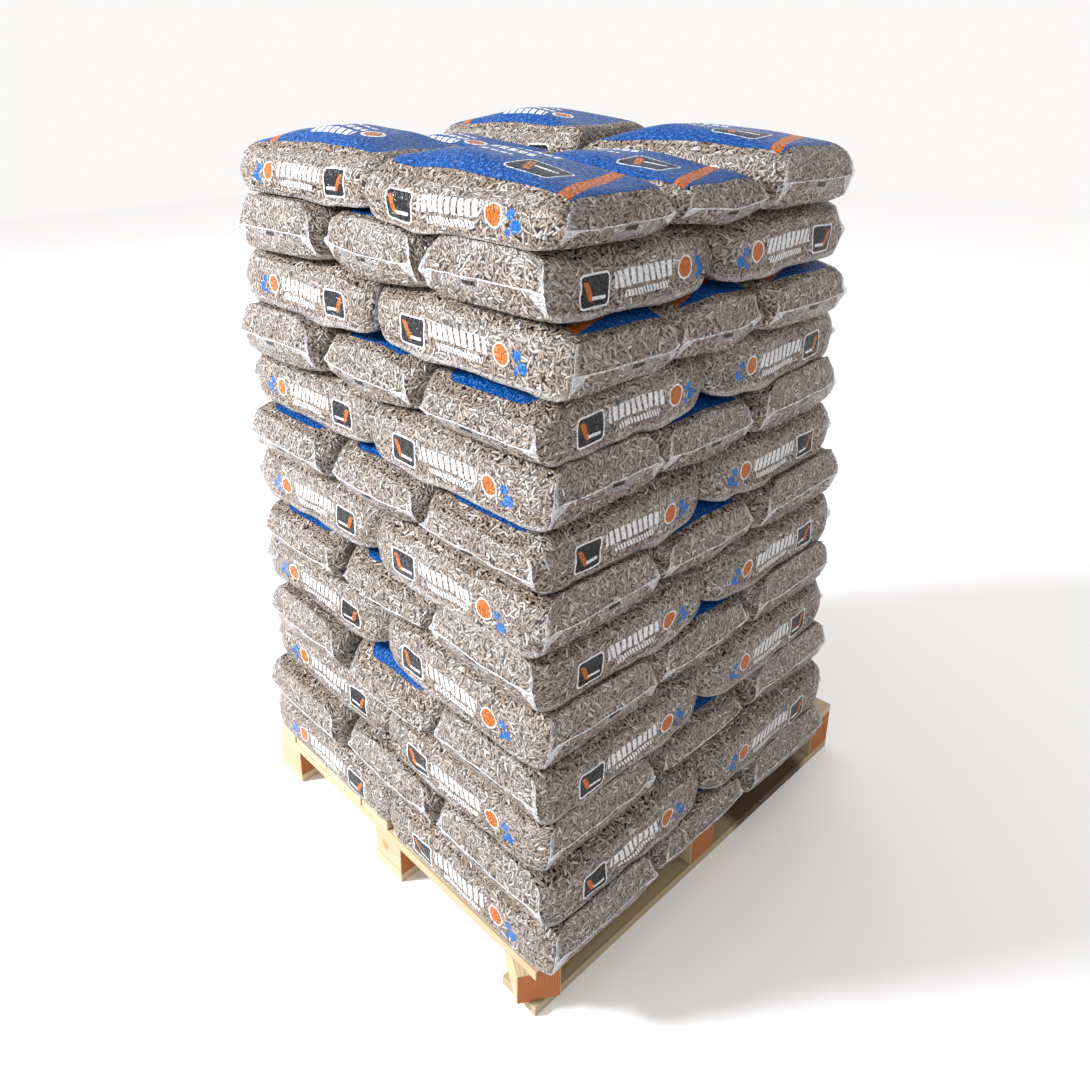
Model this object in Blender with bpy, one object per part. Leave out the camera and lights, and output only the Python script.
"""Loaded pallet: thirteen crossed layers of six sacks of wood pellets on a one-way block pallet.

The pallet's front side faces -Y and its right side faces +X. The origin is the middle of the floor
under the whole load, and Z points up.
"""
import math

import bmesh
import bpy
from mathutils import Matrix, Vector

# Pallet, in metres
PALLET_X = 1.000
PALLET_Y = 1.200
BOARD = 0.022
BLOCK_HEIGHT = 0.078
BLOCK_X = 0.100
BLOCK_Y = 0.095
FOOT_BOARD_WIDTH = 0.100
CROSS_BOARD_WIDTH = 0.100
MIDDLE_ROW_FORWARD = 0.015
TWISTED_BLOCK_TURN = math.radians(-30)
TWISTED_BLOCK_CENTRE = (-0.052, 0.044)
EDGE_BREAK = 0.0015

# Deck boards from the left: width, gap to the next one, set back of the front end
DECK_BOARDS = (
    (0.080, 0.0055, 0.000),
    (0.147, 0.0050, 0.002),
    (0.152, 0.0055, 0.000),
    (0.104, 0.0220, 0.001),
    (0.101, 0.0060, 0.004),
    (0.102, 0.0050, 0.010),
    (0.130, 0.0050, 0.020),
    (0.130, 0.0000, 0.022),
)

# Sacks, in metres
LAYERS = 13
LAYER_PITCH = 0.1213

# A sack's grid lines by their distance from its edge, and what the sack does there: how far its
# top has fallen towards an end and a long side, and how far its foot has risen
EDGE_LINES = (0.000, 0.016, 0.040)
END_FALL = (0.012, 0.006, 0.001)
SIDE_FALL = (0.022, 0.009, 0.000)
FOOT_RISE = (0.012, 0.003, 0.000)

# How far the layer's rim is drawn in at those distances: between the ends of two neighbours,
# between two sacks laid end to end, and on a long side at the stack's corner
ENDS_NOTCH = (0.042, 0.016, 0.000)
TAILS_NOTCH = (0.026, 0.015, 0.004)
CORNER_CUT = (0.014, 0.009, 0.003)
NOTCH_REACH = 0.070

# The top layer's sacks carry nothing and are crowned. A top falls towards its long sides, less so
# at the sack's ends, and towards its two ends from a peak between them.
CROWN_LINE = 0.085
CROWN_SIDE_REACH = 0.147
CROWN_SIDE_FALL = 0.085
CROWN_CORNER_REACH = 0.100
CROWN_CORNER_FALL = 0.050
CROWN_SIDE_CURVE = 2.2
CROWN_END_CURVE = 1.3

# Each crowned sack, left column first and from the front: its rise over the even height, where its
# peak is between its inner end at -1 and its outer one at 1, and its outer and inner end's fall
CROWNS = (
    ((0.033, 0.0, 0.033, 0.051), (0.001, 0.0, 0.040, 0.040), (0.051, 0.0, 0.040, 0.040)),
    ((0.004, -0.3, 0.060, 0.022), (-0.016, -0.1, 0.045, 0.030), (0.022, -0.2, 0.036, 0.040)),
)

# Where each layer's near corner lies past the pallet's near corner, from the bottom layer up
NEAR_CORNERS = (
    (0.045, -0.015),
    (0.042, -0.018),
    (0.024, -0.014),
    (0.028, -0.016),
    (0.020, -0.015),
    (0.018, -0.014),
    (0.014, -0.024),
    (0.010, -0.014),
    (0.010, -0.012),
    (0.012, -0.010),
    (0.044, -0.022),
    (0.035, -0.014),
    (0.044, -0.018),
)

# Each layer's size along X and Y, from the bottom layer up. The load presses the low sacks wide.
LAYER_SIZES = (
    (1.052, 1.075),
    (1.036, 1.065),
    (1.010, 1.075),
    (0.982, 1.050),
    (1.016, 1.048),
    (0.970, 1.040),
    (1.002, 1.060),
    (0.978, 1.002),
    (0.990, 0.985),
    (0.990, 0.960),
    (1.014, 0.909),
    (0.968, 0.895),
    (0.984, 0.875),
)

# How far each sack of a layer's front stands back, from the near corner, from the bottom layer up
FRONT_BACKS = (
    (0.002, 0.008),
    (0.004, 0.010, 0.000),
    (0.006, 0.024),
    (0.002, 0.010, 0.000),
    (0.008, 0.022),
    (0.004, 0.012, 0.000),
    (0.006, 0.028),
    (0.002, 0.010, 0.000),
    (0.008, 0.026),
    (0.002, 0.012, 0.000),
    (0.026, 0.024),
    (0.004, 0.012, 0.000),
    (0.000, 0.024),
)

# The same for each layer's right side, from the near corner
RIGHT_BACKS = (
    (0.000, 0.010, 0.004),
    (0.000, 0.000),
    (0.000, 0.012, 0.004),
    (0.002, 0.008),
    (0.000, 0.010, 0.004),
    (0.004, 0.008),
    (0.000, 0.012, 0.004),
    (0.004, 0.010),
    (0.000, 0.010, 0.004),
    (0.006, 0.008),
    (0.000, 0.012, 0.006),
    (0.014, 0.008),
    (0.000, 0.010, 0.004),
)

GAP = 0.0003
DECK_TOP = 3 * BOARD + BLOCK_HEIGHT

PINE = (0.780, 0.640, 0.430)
PINE_BLOCK = (0.740, 0.560, 0.360)
FILM_OVER_PELLETS = (0.520, 0.440, 0.350)


def make_material(name, colour, roughness, metallic=0.0):
    material = bpy.data.materials.new(name)
    material.use_nodes = True
    shader = material.node_tree.nodes["Principled BSDF"]
    shader.inputs["Base Color"].default_value = (*colour, 1.0)
    shader.inputs["Roughness"].default_value = roughness
    shader.inputs["Metallic"].default_value = metallic
    return material


def add_object(name, bm, material, parent):
    """Closes off a bmesh as a named object under a parent empty."""
    bmesh.ops.recalc_face_normals(bm, faces=bm.faces)
    mesh = bpy.data.meshes.new(name)
    bm.to_mesh(mesh)
    bm.free()
    mesh.materials.append(material)
    piece = bpy.data.objects.new(name, mesh)
    piece.parent = parent
    bpy.context.scene.collection.objects.link(piece)
    return piece


def timber(name, low, high, material, parent, turn=0.0, pivot=(0.0, 0.0)):
    """A sawn piece between two corners, with its arrises broken, turned about an upright line."""
    low, high = Vector(low), Vector(high)
    bm = bmesh.new()
    bmesh.ops.create_cube(bm, size=1.0)
    for vertex in bm.verts:
        vertex.co = [low[i] + (vertex.co[i] + 0.5) * (high[i] - low[i]) for i in range(3)]
    bmesh.ops.bevel(
        bm, geom=bm.edges[:], offset=EDGE_BREAK, offset_type="OFFSET", segments=1, affect="EDGES"
    )
    if turn:
        bmesh.ops.rotate(
            bm, verts=bm.verts, cent=(*pivot, 0.0), matrix=Matrix.Rotation(turn, 3, "Z")
        )
    return add_object(name, bm, material, parent)


def pallet_columns():
    """Left, middle and right lines of blocks: the low X of each."""
    return {
        "left": -PALLET_X,
        "middle": -(PALLET_X + FOOT_BOARD_WIDTH) / 2,
        "right": -FOOT_BOARD_WIDTH,
    }


def pallet_rows():
    """Front, middle and back rows of blocks: the centre Y of each."""
    return {
        "front": BLOCK_Y / 2,
        "middle": PALLET_Y / 2 - MIDDLE_ROW_FORWARD,
        "back": PALLET_Y - BLOCK_Y / 2,
    }


def make_foot_boards(material, parent):
    for column, x in pallet_columns().items():
        low = (x, 0.0, 0.0)
        high = (x + FOOT_BOARD_WIDTH, PALLET_Y, BOARD)
        timber(f"bottom_board_{column}", low, high, material, parent)


def make_blocks(material, parent):
    z_low = BOARD + GAP
    z_high = BOARD + BLOCK_HEIGHT - GAP
    for column, x in pallet_columns().items():
        for row, y in pallet_rows().items():
            name = f"block_{row}_{column}"
            centre = (x + BLOCK_X / 2, y)
            turn = 0.0
            if name == "block_front_right":
                centre = TWISTED_BLOCK_CENTRE
                turn = TWISTED_BLOCK_TURN
            low = (centre[0] - BLOCK_X / 2, centre[1] - BLOCK_Y / 2, z_low)
            high = (centre[0] + BLOCK_X / 2, centre[1] + BLOCK_Y / 2, z_high)
            timber(name, low, high, material, parent, turn, centre)


def make_cross_boards(material, parent):
    z = BOARD + BLOCK_HEIGHT
    for row, y in pallet_rows().items():
        y_low = y - CROSS_BOARD_WIDTH / 2
        y_low = min(max(y_low, 0.0), PALLET_Y - CROSS_BOARD_WIDTH)
        low = (-PALLET_X, y_low, z)
        high = (0.0, y_low + CROSS_BOARD_WIDTH, z + BOARD - GAP)
        timber(f"cross_board_{row}", low, high, material, parent)


def make_deck(material, parent):
    x = -PALLET_X
    z = DECK_TOP - BOARD
    for number, (width, gap, set_back) in enumerate(DECK_BOARDS, start=1):
        low = (x, set_back, z)
        high = (x + width, PALLET_Y, z + BOARD)
        timber(f"deck_board_{number}", low, high, material, parent)
        x += width + gap


def stations(low, high, count, crowned):
    """Grid lines over a row of sacks: place, distance from the sack's nearer edge, sack number."""
    length = (high - low) / count
    marks = EDGE_LINES
    if crowned:
        marks += (CROWN_LINE, length / 2)
    lines = []
    for sack in range(count):
        start = low + sack * length
        for mark in marks:
            lines.append((start + mark, mark, sack))
        for mark in reversed(marks[1:]):
            if mark < length / 2:
                lines.append((start + length - mark, mark, sack))
    lines.append((high, 0.0, count - 1))
    return lines


def at_mark(values, distance):
    """The value of a list that goes with EDGE_LINES, or 0 further in."""
    for mark, value in zip(EDGE_LINES, values):
        if abs(distance - mark) < 1e-6:
            return value
    return 0.0


def drawn_in(depth, inward):
    """How far a point moves in, where the rim moves in by a depth and NOTCH_REACH stays."""
    return depth * max(0.0, 1 - inward / NOTCH_REACH)


def sacks_at(line, lines):
    """The sacks that a grid line belongs to: two on the joints."""
    _, distance, sack = line
    if distance == 0.0 and line not in (lines[0], lines[-1]):
        return (sack - 1, sack)
    return (sack,)


def rim_depth(line, lines, backs, notch, corner_cut):
    """How far a face's rim is drawn in on a grid line, by the sacks' set backs and their joints."""
    _, distance, sack = line
    neighbours = sacks_at(line, lines)
    depth = sum(backs[number] for number in neighbours) / len(neighbours)
    count = len(backs)
    middle = lines[0][0] + (lines[-1][0] - lines[0][0]) * (sack + 0.5) / count
    side = -1 if line[0] < middle else 1
    outer = (sack == 0 and side < 0) or (sack == count - 1 and side > 0)
    if len(neighbours) == 2:
        outer = False
    return depth + at_mark(corner_cut if outer else notch, distance)


def crown_height(line_x, line_y, lines_x, lines_y, half_x, half_y):
    """How high the top layer stands over its even height at a crossing of grid lines."""
    heights = []
    for column in sacks_at(line_x, lines_x):
        middle = lines_x[0][0] + (2 * column + 1) * half_x
        outward = (line_x[0] - middle) / half_x * (1 if column else -1)
        near_end = max(0.0, 1 - line_x[1] / CROWN_CORNER_REACH)
        side = CROWN_SIDE_FALL + (CROWN_CORNER_FALL - CROWN_SIDE_FALL) * near_end
        side *= max(0.0, 1 - line_y[1] / min(CROWN_SIDE_REACH, half_y)) ** CROWN_SIDE_CURVE
        for row in sacks_at(line_y, lines_y):
            rise, peak, outer, inner = CROWNS[column][row]
            past_out = max(0.0, (outward - peak) / (1 - peak))
            past_in = max(0.0, (peak - outward) / (1 + peak))
            end = outer * past_out ** CROWN_END_CURVE + inner * past_in ** CROWN_END_CURVE
            heights.append(rise - (end ** 3 + side ** 3) ** (1 / 3))
    return min(heights)


def layer_points(number, low, high, z_low, z_high):
    """Bottom and top points of a layer of sacks on one grid, drawn in where the sacks meet."""
    lengthwise = number % 2 == 1
    crowned = number == LAYERS
    columns, rows = (2, 3) if lengthwise else (3, 2)
    lines_x = stations(low[0], high[0], columns, crowned)
    lines_y = stations(low[1], high[1], rows, crowned)
    half_x = (high[0] - low[0]) / columns / 2
    half_y = (high[1] - low[1]) / rows / 2
    no_backs_x, no_backs_y = (0.0,) * rows, (0.0,) * columns
    right_backs = RIGHT_BACKS[number - 1]
    front_backs = FRONT_BACKS[number - 1][::-1]
    no_cut = (0.0, 0.0, 0.0)
    x_notch, x_cut = (ENDS_NOTCH, no_cut) if lengthwise else (TAILS_NOTCH, CORNER_CUT)
    y_notch, y_cut = (TAILS_NOTCH, CORNER_CUT) if lengthwise else (ENDS_NOTCH, no_cut)
    x_fall, y_fall = (END_FALL, SIDE_FALL) if lengthwise else (SIDE_FALL, END_FALL)
    middle_x, middle_y = (low[0] + high[0]) / 2, (low[1] + high[1]) / 2
    grid = []
    for line_x in lines_x:
        x, from_x, _ = line_x
        line = []
        for line_y in lines_y:
            y, from_y, _ = line_y
            on_right = x > middle_x
            on_front = y < middle_y
            depth_x = rim_depth(line_y, lines_y, right_backs if on_right else no_backs_x, x_notch, x_cut)
            depth_y = rim_depth(line_x, lines_x, front_backs if on_front else no_backs_y, y_notch, y_cut)
            move_x = drawn_in(depth_x, min(x - low[0], high[0] - x))
            move_y = drawn_in(depth_y, min(y - low[1], high[1] - y))
            place_x = x - move_x if on_right else x + move_x
            place_y = y + move_y if on_front else y - move_y
            foot = max(at_mark(FOOT_RISE, from_x), at_mark(FOOT_RISE, from_y))
            if crowned:
                rise = crown_height(line_x, line_y, lines_x, lines_y, half_x, half_y)
            else:
                rise = -max(at_mark(x_fall, from_x), at_mark(y_fall, from_y))
            bottom = Vector((place_x, place_y, z_low + foot))
            top = Vector((place_x, place_y, z_high + rise))
            line.append((bottom, top))
        grid.append(line)
    return grid


def make_layer(number, material, parent):
    """One layer as a single solid: two by three sacks, or three by two on every second layer."""
    size_x, size_y = LAYER_SIZES[number - 1]
    near_x, near_y = NEAR_CORNERS[number - 1]
    low = (near_x - size_x, near_y)
    high = (near_x, near_y + size_y)
    z_low = DECK_TOP + (number - 1) * LAYER_PITCH + GAP
    z_high = DECK_TOP + number * LAYER_PITCH
    grid = layer_points(number, low, high, z_low, z_high)
    bm = bmesh.new()
    verts = [[[bm.verts.new(point) for point in pair] for pair in line] for line in grid]
    last_i, last_j = len(verts) - 1, len(verts[0]) - 1
    for i in range(last_i):
        for j in range(last_j):
            cell = (verts[i][j], verts[i + 1][j], verts[i + 1][j + 1], verts[i][j + 1])
            bm.faces.new([pair[1] for pair in cell])
            bm.faces.new([pair[0] for pair in reversed(cell)])
    rim = [verts[i][0] for i in range(last_i)]
    rim += [verts[last_i][j] for j in range(last_j)]
    rim += [verts[i][last_j] for i in range(last_i, 0, -1)]
    rim += [verts[0][j] for j in range(last_j, 0, -1)]
    for here, after in zip(rim, rim[1:] + rim[:1]):
        bm.faces.new((here[0], after[0], after[1], here[1]))
    return add_object(f"sack_layer_{number:02d}", bm, material, parent)


def centre_on_floor(parent):
    """Puts the middle of the load's floor area on the origin."""
    bpy.context.view_layer.update()
    corners = [
        piece.matrix_world @ Vector(corner)
        for piece in parent.children
        for corner in piece.bound_box
    ]
    for axis in (0, 1):
        values = [corner[axis] for corner in corners]
        parent.location[axis] -= (min(values) + max(values)) / 2


def main():
    for item in list(bpy.data.objects):
        bpy.data.objects.remove(item, do_unlink=True)
    load = bpy.data.objects.new("loaded_pallet", None)
    bpy.context.scene.collection.objects.link(load)
    board_pine = make_material("board_pine", PINE, 0.75)
    block_pine = make_material("block_pine", PINE_BLOCK, 0.80)
    film = make_material("film_over_pellets", FILM_OVER_PELLETS, 0.35)
    make_foot_boards(board_pine, load)
    make_blocks(block_pine, load)
    make_cross_boards(board_pine, load)
    make_deck(board_pine, load)
    for number in range(1, LAYERS + 1):
        make_layer(number, film, load)
    centre_on_floor(load)


main()
